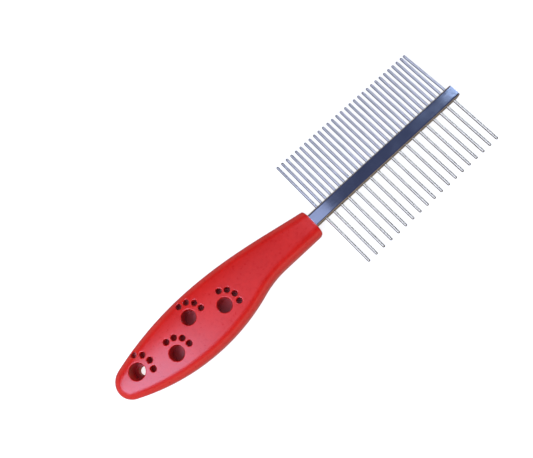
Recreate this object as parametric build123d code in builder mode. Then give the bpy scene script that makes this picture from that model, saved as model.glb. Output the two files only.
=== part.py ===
from build123d import *

import os
from math import atan2, cos, degrees, radians, sin, sqrt

# Two-sided steel grooming comb with a moulded handle.
#
# Millimetres, +Z up. The comb lies on the flat underside of its handle. +X runs along the comb to
# its tip, +Y points to the fine side, and the origin is at the middle of the length and of the
# width, on the surface that the comb lies on.

# ---------------------------------------------------------------- driving dimensions

handle_length = 91.8
head_length = 78.65         # spine that stands out of the handle

# Steel head
spine_width = 5.5
spine_thickness = 4.6
spine_height = 5.8          # middle of the spine above the underside of the handle
sheet = 0.7                 # steel sheet that the channel is folded from
fold_radius = 0.85          # outside radius of the channel's folded corners
seam_gap = 0.6              # between the two lips under the spine

wire_diameter = 1.1
head_diameter = 1.7         # upset head that keeps a tooth in its hole
head_thickness = 0.55
fine_reach = 25.1           # from the middle of the spine to the fine tips
coarse_reach = 25.4
fine_count = 30
coarse_count = 19
fine_first = 5.65           # from the neck to the first tooth
coarse_first = 5.45
fine_last = 1.7             # from the last tooth to the end of the spine
coarse_last = 2.4
end_tooth_lean = 1.9        # degrees that the last fine tooth leans to its neighbour
lean_start = 1.5            # straight length outside the spine before the lean
lean_radius = 6.0           # of the bend in the leaning tooth

channel_grip = 14.0         # spine channel held inside the handle
core_recess = 0.6           # core bar back from the channel's open end
key_diameter = 1.5          # holes in the tang that the moulding flows through
key_pitch = 8.0
key_count = 2
key_inset = 4.5             # last key hole from the end of the tang

hole_clearance = 0.03       # round a tooth in its punched hole
head_clearance = 0.05       # at each side of a tooth's head
core_clearance = 0.05       # between the core bar and the channel above and below
socket_clearance = 0.04     # between the handle and the steel inside it

# Handle outline, seen from above; half widths are from the spine's line
neck_fine_half = 5.3
neck_coarse_half = 6.3
neck_flare = 8.8            # degrees that the fine side leaves the neck at
belly_fine_half = 11.9
belly_coarse_half = 11.95
belly_fine_from_butt = 38.4
belly_coarse_from_butt = 36.9
waist_radius = 40.0         # hollow of the coarse side, between the belly and the neck
butt_fine_radius = 6.4
butt_coarse_radius = 6.2
butt_offset = 1.1           # the end of the butt is a little to the fine side

# Handle thickness, seen from the side
neck_thickness = 10.0
belly_thickness = 12.9
butt_thickness = 10.6
thickest_from_butt = 37.7
crown_radius = 40.0         # of the gripping face across its width
top_roll = 4.0              # rounding of the upper edge
under_roll = 2.6
neck_edge_round = 0.6       # all round the neck's end

# Paw prints: one round pad and an arc of toes, all sunk into the gripping face
pad_diameter = 5.5
toe_diameter = 2.15
toe_floor = 7.6             # height of the bottom of a toe above the underside
toe_count = 4
toe_spread = 32.5           # degrees between toes
toe_distance = 5.35         # pad centre to toe centre
pad_floor = 3.4             # plastic left under a pad
lip_round = 0.3             # mouths of the pads and toes
paws = (                    # from the butt, across the handle, turned by (degrees)
    (24.4, -2.7, 45.0),
    (35.3, 3.7, 44.5),
    (47.4, -1.7, 23.5),
)

hang_from_butt = 10.2       # the last paw's pad is the hanging hole
hang_across = 2.0
hang_turn = 16.0
hang_pad_diameter = 6.0
hang_toe_distance = 5.75
hang_diameter = 3.2         # bore through the floor of the pad
tang_wall = 1.5             # plastic between the tang's end and the nearest paw

# ---------------------------------------------------------------- places worked out from them

neck_x = (handle_length - head_length) / 2
tip_x = neck_x + head_length
butt_x = neck_x - handle_length
spine_y = (coarse_reach - fine_reach) / 2
spine_z = spine_height

channel_inside = spine_width - 2 * sheet
channel_height_inside = spine_thickness - 2 * sheet
head_room = head_thickness + 2 * head_clearance
core_width = channel_inside - 2 * head_room
core_thickness = channel_height_inside - 2 * core_clearance

paw_reach = max(paw[0] for paw in paws) + toe_distance + toe_diameter / 2
tang_length = handle_length - paw_reach - tang_wall

fine_pitch = (head_length - fine_first - fine_last) / (fine_count - 1)
coarse_pitch = (head_length - coarse_first - coarse_last) / (coarse_count - 1)
fine_x = [neck_x + fine_first + i * fine_pitch for i in range(fine_count)]
coarse_x = [neck_x + coarse_first + i * coarse_pitch for i in range(coarse_count)]

os.makedirs("parts", exist_ok=True)


def save(part, name):
    """Label a finished piece and write it."""
    part.label = name
    export_step(part, f"parts/{name}.step")


# ---------------------------------------------------------------- steel head


def side_holes(x_places, side):
    """Punched holes for one row of teeth, through the channel wall on that side (+1 or -1)."""
    wall_plane = Plane(
        origin=(0, spine_y + side * (spine_width / 2 + sheet), spine_z),
        x_dir=(1, 0, 0),
        z_dir=(0, side, 0),
    )
    with BuildSketch(wall_plane) as holes:
        with Locations(*[(x, 0) for x in x_places]):
            Circle(wire_diameter / 2 + hole_clearance)
    return extrude(holes.sketch, amount=-3 * sheet, mode=Mode.PRIVATE)


channel_start = neck_x - channel_grip
channel_plane = Plane(origin=(channel_start, spine_y, spine_z), x_dir=(0, 1, 0), z_dir=(1, 0, 0))

with BuildPart() as spine_channel:
    with BuildSketch(channel_plane):
        RectangleRounded(spine_width, spine_thickness, fold_radius)
        RectangleRounded(channel_inside, channel_height_inside, fold_radius - sheet, mode=Mode.SUBTRACT)
        with Locations((0, -spine_thickness / 2)):
            Rectangle(seam_gap, 3 * sheet, mode=Mode.SUBTRACT)
    extrude(amount=tip_x - channel_start)
    add(side_holes(fine_x, 1), mode=Mode.SUBTRACT)
    add(side_holes(coarse_x, -1), mode=Mode.SUBTRACT)
save(spine_channel.part, "spine_channel")


def core_shape(margin):
    """The core bar with its tang; the handle's socket is the same shape, larger by the margin."""
    start = neck_x - tang_length - margin
    section_plane = Plane(origin=(start, spine_y, spine_z), x_dir=(0, 1, 0), z_dir=(1, 0, 0))
    key_start = neck_x - tang_length + key_inset
    with BuildPart() as bar:
        with BuildSketch(section_plane):
            Rectangle(core_width + 2 * margin, core_thickness + 2 * margin)
        extrude(amount=tip_x - core_recess - start)
        with BuildSketch(Plane(origin=(key_start, spine_y, spine_z))):
            with Locations(*[(i * key_pitch, 0) for i in range(key_count)]):
                Circle(key_diameter / 2 - margin)
        extrude(amount=core_thickness, both=True, mode=Mode.SUBTRACT)
    return bar.part


save(core_shape(0), "core_bar")


def tooth(x, side, reach, lean=0.0):
    """A headed wire from inside the channel to its rounded tip, leaning back towards the neck."""
    head_base = channel_inside / 2 - head_room + head_clearance
    wire_radius = wire_diameter / 2
    bend = spine_width / 2 + lean_start
    straight_end = reach - wire_radius
    slant = straight_end - bend
    foot = (x, spine_y + side * head_base, spine_z)
    knee = (x, spine_y + side * bend, spine_z)
    tip = (
        x - slant * sin(radians(lean)),
        spine_y + side * (bend + slant * cos(radians(lean))),
        spine_z,
    )
    foot_plane = Plane(origin=foot, x_dir=(1, 0, 0), z_dir=(0, side, 0))
    with BuildPart() as wire:
        with BuildLine() as run:
            if lean:
                FilletPolyline(foot, knee, tip, radius=lean_radius)
            else:
                Line(foot, tip)
        with BuildSketch(foot_plane):
            Circle(wire_radius)
        sweep(path=run.line)
        with BuildSketch(foot_plane):
            Circle(head_diameter / 2)
        extrude(amount=head_thickness)
        with Locations(tip):
            Sphere(wire_radius)
    return wire.part


for i, x in enumerate(fine_x):
    is_last = i == fine_count - 1
    save(tooth(x, 1, fine_reach, end_tooth_lean if is_last else 0.0), f"fine_tooth_{i + 1:02d}")

for i, x in enumerate(coarse_x):
    save(tooth(x, -1, coarse_reach), f"coarse_tooth_{i + 1:02d}")

# ---------------------------------------------------------------- handle

def turn_to(start, end):
    """Direction from one point to another, in degrees from 0 to 360."""
    return degrees(atan2(end[1] - start[1], end[0] - start[0])) % 360


def belly_radius(along, rise, end_radius):
    """Radius of the side that is level at the belly and runs into the butt's end arc."""
    return (along**2 + rise**2 - end_radius**2) / (2 * (rise - end_radius))


neck_fine = (neck_x, spine_y + neck_fine_half)
neck_coarse = (neck_x, spine_y - neck_coarse_half)
flare = (-cos(radians(neck_flare)), sin(radians(neck_flare)))

fine_end_centre = (butt_x + butt_fine_radius, spine_y + butt_offset)
coarse_end_centre = (butt_x + butt_coarse_radius, spine_y + butt_offset)
fine_belly_x = butt_x + belly_fine_from_butt
coarse_belly_x = butt_x + belly_coarse_from_butt
fine_radius = belly_radius(
    fine_belly_x - fine_end_centre[0], belly_fine_half - butt_offset, butt_fine_radius
)
coarse_radius = belly_radius(
    coarse_belly_x - coarse_end_centre[0], belly_coarse_half + butt_offset, butt_coarse_radius
)
fine_centre = (fine_belly_x, spine_y + belly_fine_half - fine_radius)
coarse_centre = (coarse_belly_x, spine_y - belly_coarse_half + coarse_radius)
waist_y = neck_coarse[1] - waist_radius
waist_reach = sqrt((coarse_radius + waist_radius) ** 2 - (coarse_centre[1] - waist_y) ** 2)
waist_centre = (coarse_belly_x + waist_reach, waist_y)
fine_turn = turn_to(fine_centre, fine_end_centre)
coarse_turn = turn_to(coarse_centre, coarse_end_centre)
waist_turn = turn_to(coarse_centre, waist_centre)

socket_plane = Plane(
    origin=(channel_start - socket_clearance, spine_y, spine_z), x_dir=(0, 1, 0), z_dir=(1, 0, 0)
)
crown_centre = belly_thickness - crown_radius
crown_axis = Axis((0, spine_y, crown_centre), (1, 0, 0))
top_butt = (butt_x, butt_thickness)
top_middle = (butt_x + thickest_from_butt, belly_thickness)
top_neck = (neck_x, neck_thickness)


def paw_pockets(x, y, turn, diameter, distance):
    """One paw print: its pad and toes, each as x, y, diameter and the height of its floor."""
    pockets = [(x, y, diameter, pad_floor)]
    for i in range(toe_count):
        angle = radians(turn + (i - (toe_count - 1) / 2) * toe_spread)
        toe = (x + distance * cos(angle), y + distance * sin(angle), toe_diameter, toe_floor)
        pockets.append(toe)
    return pockets


hang_x = butt_x + hang_from_butt
hang_y = spine_y + hang_across
pockets = paw_pockets(hang_x, hang_y, hang_turn, hang_pad_diameter, hang_toe_distance)
for from_butt, side, turn in paws:
    pockets += paw_pockets(butt_x + from_butt, spine_y + side, turn, pad_diameter, toe_distance)

with BuildPart() as handle:
    with BuildSketch(Plane.XY):
        with BuildLine():
            fine_side = CenterArc(fine_centre, fine_radius, 90, fine_turn - 90)
            CenterArc(fine_end_centre, butt_fine_radius, fine_turn, 180 - fine_turn)
            CenterArc(coarse_end_centre, butt_coarse_radius, 180, coarse_turn - 180)
            CenterArc(coarse_centre, coarse_radius, coarse_turn, waist_turn - coarse_turn)
            waist = CenterArc(waist_centre, waist_radius, waist_turn - 180, 270 - waist_turn)
            Polyline(waist @ 1, neck_coarse, neck_fine)
            Spline(neck_fine, fine_side @ 0, tangents=(flare, (-1, 0)))
        make_face()
    extrude(amount=2 * belly_thickness)
    with BuildSketch(Plane.XZ.offset(-spine_y)):
        with BuildLine():
            ThreePointArc(top_butt, top_middle, top_neck)
            Polyline(top_neck, (neck_x, crown_centre), (butt_x, crown_centre), top_butt)
        make_face()
    revolve(axis=crown_axis, mode=Mode.INTERSECT)
    under_face = handle.faces().sort_by(Axis.Z)[0]
    fillet(under_face.edges().sort_by(Axis.X)[:-1], under_roll)
    top_face = handle.faces().sort_by(Axis.Z)[-1]
    fillet(top_face.edges().sort_by(Axis.X)[:-1], top_roll)
    end_face = handle.faces().sort_by(Axis.X)[-1]
    fillet(end_face.edges(), neck_edge_round)

    with BuildSketch(socket_plane):
        RectangleRounded(
            spine_width + 2 * socket_clearance,
            spine_thickness + 2 * socket_clearance,
            fold_radius + socket_clearance,
        )
    extrude(amount=2 * channel_grip, mode=Mode.SUBTRACT)
    add(core_shape(socket_clearance), mode=Mode.SUBTRACT)

    for x, y, diameter, floor in pockets:
        with BuildSketch(Plane(origin=(x, y, floor))):
            Circle(diameter / 2)
        extrude(amount=2 * belly_thickness, mode=Mode.SUBTRACT)
        walls = handle.faces(Select.LAST).filter_by(GeomType.CYLINDER)
        wall = walls.sort_by_distance((x, y, floor))[0]
        edges = wall.edges().filter_by(GeomType.LINE, reverse=True)
        fillet(edges.filter_by(lambda edge: edge.center().Z > floor + lip_round), lip_round)
    with BuildSketch():
        with Locations((hang_x, hang_y)):
            Circle(hang_diameter / 2)
    extrude(amount=belly_thickness, mode=Mode.SUBTRACT)
save(handle.part, "handle")
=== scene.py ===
"""Steel grooming comb: finishes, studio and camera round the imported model. Metres, +Z up."""

import math

import bpy
from mathutils import Matrix, Vector

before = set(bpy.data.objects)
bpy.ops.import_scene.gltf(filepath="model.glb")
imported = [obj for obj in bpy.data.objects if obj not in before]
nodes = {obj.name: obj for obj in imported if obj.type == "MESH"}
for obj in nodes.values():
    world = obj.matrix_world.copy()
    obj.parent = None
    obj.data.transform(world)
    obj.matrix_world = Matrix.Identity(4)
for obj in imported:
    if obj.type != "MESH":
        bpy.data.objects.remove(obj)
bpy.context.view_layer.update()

MM = 0.001
SPINE_Y = 0.15 * MM         # middle of the spine
WALL_SPAN = 2.75 * MM       # from there to the outside of its walls

# a Mix node has several sockets called A, B and Result, so the ones for colours go by number
COLOUR_A = 6
COLOUR_B = 7
COLOUR_RESULT = 2

# ---------------------------------------------------------------- shader kit


class Value:
    """A changing number in a node tree; arithmetic on values becomes Math nodes."""

    def __init__(self, shading, socket):
        self.shading = shading
        self.socket = socket

    def _math(self, operation, first, second):
        node = self.shading.node("ShaderNodeMath", {"operation": operation}, first, second)
        return Value(self.shading, node.outputs["Value"])

    def __add__(self, other):
        return self._math("ADD", self, other)

    __radd__ = __add__

    def __sub__(self, other):
        return self._math("SUBTRACT", self, other)

    def __rsub__(self, other):
        return self._math("SUBTRACT", other, self)

    def __mul__(self, other):
        return self._math("MULTIPLY", self, other)

    __rmul__ = __mul__


class Shading:
    """A node tree being made, for a material or for the room."""

    def __init__(self, tree):
        self.tree = tree
        self.tree.nodes.clear()

    def node(self, kind, settings, *in_order, **by_name):
        """Add a node: its settings first, then what its sockets hold or are linked to."""
        node = self.tree.nodes.new(kind)
        for name, setting in settings.items():
            if name == "stops":
                self._set_stops(node.color_ramp, setting)
            else:
                setattr(node, name, setting)
        for index, content in enumerate(in_order):
            self.feed(node.inputs[index], content)
        for name, content in by_name.items():
            self.feed(node.inputs[name.replace("_", " ")], content)
        return node

    def feed(self, socket, content):
        """Link a value or an output to a socket, or set the socket to a number or a colour."""
        if isinstance(content, Value):
            content = content.socket
        if isinstance(content, bpy.types.NodeSocket):
            self.tree.links.new(content, socket)
        elif isinstance(content, tuple) and socket.type == "RGBA":
            socket.default_value = (*content, 1.0)
        else:
            socket.default_value = content

    @staticmethod
    def _set_stops(ramp, stops):
        while len(ramp.elements) < len(stops):
            ramp.elements.new(1.0)
        for element, (place, level) in zip(ramp.elements, stops):
            element.position = place
            element.color = (level, level, level, 1.0)

    def axes(self, vector):
        """X, Y and Z of a position or a direction."""
        split = self.node("ShaderNodeSeparateXYZ", {}, vector)
        return [Value(self, split.outputs[axis]) for axis in "XYZ"]

    def ramp(self, value, *stops):
        """A value remapped through (place, level) stops."""
        node = self.node("ShaderNodeValToRGB", {"stops": stops}, value)
        return Value(self, node.outputs["Color"])

    def blend(self, amount, first, second):
        """A colour between two others."""
        node = self.node("ShaderNodeMix", {"data_type": "RGBA"}, Factor=amount)
        self.feed(node.inputs[COLOUR_A], first)
        self.feed(node.inputs[COLOUR_B], second)
        return node.outputs[COLOUR_RESULT]


class Finish(Shading):
    """One material being made: a Principled shader and the nodes that feed it."""

    def __init__(self, name, **uniform):
        self.material = bpy.data.materials.new(name)
        self.material.use_nodes = True
        super().__init__(self.material.node_tree)
        self.shader = self.node("ShaderNodeBsdfPrincipled", {}, **uniform)
        self.node("ShaderNodeOutputMaterial", {}, Surface=self.shader.outputs["BSDF"])

    def wear(self, **sockets):
        """Feed the shader's own sockets."""
        for name, content in sockets.items():
            self.feed(self.shader.inputs[name.replace("_", " ")], content)

    def place(self):
        """Position on the object, in metres."""
        return self.node("ShaderNodeTexCoord", {}).outputs["Object"]

    def stretched(self, x, y, z):
        """The position with each axis scaled, for grain that runs one way."""
        scaled = self.node("ShaderNodeVectorMath", {"operation": "MULTIPLY"}, self.place(), (x, y, z))
        return scaled.outputs["Vector"]

    def size_of(self, value):
        """A value without its sign."""
        node = self.node("ShaderNodeMath", {"operation": "ABSOLUTE"}, value)
        return Value(self, node.outputs["Value"])

    def noise(self, size, detail=2.0, rough=0.5, where=None):
        """Soft noise from 0 to 1 with lumps of about the given size in metres."""
        where = where or self.place()
        node = self.node(
            "ShaderNodeTexNoise", {}, Vector=where, Scale=1 / size, Detail=detail, Roughness=rough
        )
        return Value(self, node.outputs["Fac"])

    def bump(self, height, depth, strength):
        """A normal raised by a height from 0 to 1 over a depth in metres."""
        node = self.node("ShaderNodeBump", {}, Strength=strength, Distance=depth, Height=height)
        return node.outputs["Normal"]


# ---------------------------------------------------------------- finishes


def moulded_red():
    """Handle: red plastic with a fine spark-eroded skin and patches that shine more or less."""
    finish = Finish("moulded_red_plastic", IOR=1.55)
    drift = finish.noise(16 * MM, detail=3)
    mottle = finish.noise(1.3 * MM, detail=4, rough=0.6)
    pores = finish.noise(0.32 * MM, detail=3, rough=0.65)
    tone = finish.ramp(0.6 * drift + 0.4 * mottle, (0.35, 0.0), (0.65, 1.0))
    finish.wear(
        Base_Color=finish.blend(tone, (0.54, 0.005, 0.001), (0.655, 0.010, 0.003)),
        Roughness=finish.ramp(0.5 * mottle + 0.5 * pores, (0.3, 0.24), (0.7, 0.38)),
        Normal=finish.bump(0.7 * pores + 0.3 * mottle, depth=0.02 * MM, strength=0.6),
    )
    return finish.material


def polished_spine():
    """Spine: polished top with fine drawing lines, and duller, warmer walls; the darker colour at the
    folds and walls is partly unpolished steel and partly painted shade.
    """
    finish = Finish("polished_spine_steel", Metallic=1.0)
    _, across, _ = finish.axes(finish.place())
    lines = finish.noise(0.25 * MM, detail=4, where=finish.stretched(0.03, 1, 1))
    smudge = finish.noise(6 * MM, detail=3)
    off_centre = finish.size_of(across - SPINE_Y)
    # painted shade: from 0.8 of the way out, the folds and walls turn darker and warmer, partly an
    # unpolished finish and partly painted shade along the folds
    fold_shade_and_wall = finish.ramp(off_centre * (1 / WALL_SPAN), (0.80, 0.0), (0.90, 1.0))
    top = finish.blend(smudge, (0.48, 0.54, 0.68), (0.60, 0.65, 0.78))
    # this darker, warmer colour is partly unpolished steel and partly painted shade
    dull = finish.blend(smudge, (0.40, 0.34, 0.27), (0.54, 0.46, 0.37))
    finish.wear(
        Base_Color=finish.blend(fold_shade_and_wall, top, dull),
        Roughness=0.2 * fold_shade_and_wall + finish.ramp(0.6 * smudge + 0.4 * lines, (0.3, 0.06), (0.7, 0.12)),
        Normal=finish.bump(lines, depth=0.004 * MM, strength=0.3),
    )
    return finish.material


def drawn_wire(name, dark, light):
    """Teeth: drawn wire with soft rings of buffing and a little dulling."""
    finish = Finish(name, Metallic=1.0)
    rings = finish.noise(0.5 * MM, where=finish.stretched(0.3, 1, 0.3))
    smudge = finish.noise(5 * MM)
    finish.wear(
        Base_Color=finish.blend(smudge, dark, light),
        Roughness=finish.ramp(0.5 * smudge + 0.5 * rings, (0.3, 0.3), (0.7, 0.4)),
        Normal=finish.bump(rings, depth=0.002 * MM, strength=0.2),
    )
    return finish.material


def rolled_core():
    """Core bar: rolled strip, dull and a little uneven."""
    finish = Finish("rolled_core_steel", Metallic=1.0)
    grain = finish.noise(0.4 * MM, detail=4, where=finish.stretched(0.1, 1, 1))
    finish.wear(
        Base_Color=finish.blend(grain, (0.32, 0.32, 0.33), (0.46, 0.46, 0.47)),
        Roughness=finish.ramp(grain, (0.3, 0.35), (0.7, 0.55)),
        Normal=finish.bump(grain, depth=0.006 * MM, strength=0.5),
    )
    return finish.material


def light_table():
    """Floor: pale and lit from inside, as a light table is, but dim where the comb mirrors it."""
    finish = Finish("pale_light_table", Roughness=0.9, Emission_Strength=1.0)
    mirrored = finish.node("ShaderNodeLightPath", {}).outputs["Is Glossy Ray"]
    finish.wear(
        Base_Color=finish.blend(mirrored, (0.3, 0.3, 0.3), (0.12, 0.1, 0.07)),
        Emission_Color=finish.blend(mirrored, (0.85, 0.85, 0.85), (0.20, 0.165, 0.12)),
    )
    return finish.material


def dress(names, material):
    """Give CAD nodes their finish."""
    for name in names:
        slots = nodes[name].data.materials
        slots.clear()
        slots.append(material)


dress(["handle"], moulded_red())
dress(["spine_channel"], polished_spine())
dress(["core_bar"], rolled_core())
dress(
    [name for name in nodes if name.startswith("fine_tooth")],
    drawn_wire("fine_tooth_wire", (0.23, 0.218, 0.207), (0.32, 0.303, 0.288)),
)
dress(
    [name for name in nodes if name.startswith("coarse_tooth")],
    drawn_wire("coarse_tooth_wire", (0.31, 0.273, 0.208), (0.395, 0.352, 0.272)),
)

# ---------------------------------------------------------------- studio


def lay_floor():
    """A wide flat table just under the comb."""
    half = 1.5
    drop = 0.02 * MM
    mesh = bpy.data.meshes.new("table_top")
    corners = [(-half, -half, -drop), (half, -half, -drop), (half, half, -drop), (-half, half, -drop)]
    mesh.from_pydata(corners, [], [(0, 1, 2, 3)])
    mesh.materials.append(light_table())
    table = bpy.data.objects.new("table_top", mesh)
    bpy.context.scene.collection.objects.link(table)


def paint_room():
    """A room that looks pale, but lights the comb like grey walls under a dim bluish ceiling."""
    world = bpy.data.worlds.new("pale_room")
    world.use_nodes = True
    room = Shading(world.node_tree)
    _, _, rise = room.axes(room.node("ShaderNodeTexCoord", {}).outputs["Generated"])
    overhead = room.ramp(rise, (0.18, 0.0), (0.36, 1.0))
    dim = room.blend(overhead, (0.66, 0.65, 0.64), (0.07, 0.08, 0.14))
    seen = room.node("ShaderNodeLightPath", {}).outputs["Is Camera Ray"]
    paint = room.node("ShaderNodeBackground", {}, Color=room.blend(seen, dim, (0.80, 0.82, 0.86)))
    room.node("ShaderNodeOutputWorld", {}, Surface=paint.outputs["Background"])
    bpy.context.scene.world = world


def hang_softbox(name, tilt, bearing, distance, size, brightness, colour):
    """A soft lamp over the comb: tilt from straight up and bearing from +X, both in degrees."""
    lamp = bpy.data.lights.new(name, "AREA")
    lamp.shape = "RECTANGLE"
    lamp.size, lamp.size_y = size
    lamp.energy = brightness * math.pi * size[0] * size[1]
    lamp.color = colour
    holder = bpy.data.objects.new(name, lamp)
    turn = Matrix.Rotation(math.radians(bearing), 4, "Z") @ Matrix.Rotation(math.radians(tilt), 4, "Y")
    holder.matrix_world = turn @ Matrix.Translation((0, 0, distance))
    bpy.context.scene.collection.objects.link(holder)


def light_studio():
    """A cool window past the butt, a faint sheet overhead, a small panel past the tip, a warm card."""
    hang_softbox(
        "window", tilt=37.5, bearing=189, distance=1.0,
        size=(0.85, 0.85), brightness=4.7, colour=(0.86, 1.0, 1.5),
    )
    hang_softbox(
        "overhead_sheet", tilt=20, bearing=180, distance=1.1,
        size=(1.6, 1.1), brightness=0.7, colour=(0.68, 0.75, 1.0),
    )
    hang_softbox(
        "tip_panel", tilt=46.4, bearing=11, distance=1.0,
        size=(0.24, 0.2), brightness=20.0, colour=(0.78, 0.95, 1.25),
    )
    hang_softbox(
        "side_card", tilt=74, bearing=270, distance=1.0,
        size=(0.45, 1.2), brightness=0.45, colour=(1.0, 0.8, 0.6),
    )


def stand_camera():
    """A close hand-held view from above the handle, looking towards the head."""
    place = Vector((-34.9, -25.8, 188.7)) * MM
    aim = Vector((-7.5, 9.87, 5.8)) * MM
    picture_up = math.radians(47.2)
    sensor_width = 36.0
    focal_over_width = 0.938
    forward = (aim - place).normalized()
    right = forward.cross(Vector((math.cos(picture_up), math.sin(picture_up), 0))).normalized()
    up = right.cross(forward)
    camera = bpy.data.cameras.new("camera")
    camera.sensor_width = sensor_width
    camera.lens = sensor_width * focal_over_width
    camera.clip_start = 1 * MM
    holder = bpy.data.objects.new("camera", camera)
    turn = Matrix((right, up, -forward)).transposed().to_4x4()
    holder.matrix_world = Matrix.Translation(place) @ turn
    bpy.context.scene.collection.objects.link(holder)
    bpy.context.scene.camera = holder


lay_floor()
paint_room()
light_studio()
stand_camera()
bpy.context.scene.view_settings.view_transform = "Standard"
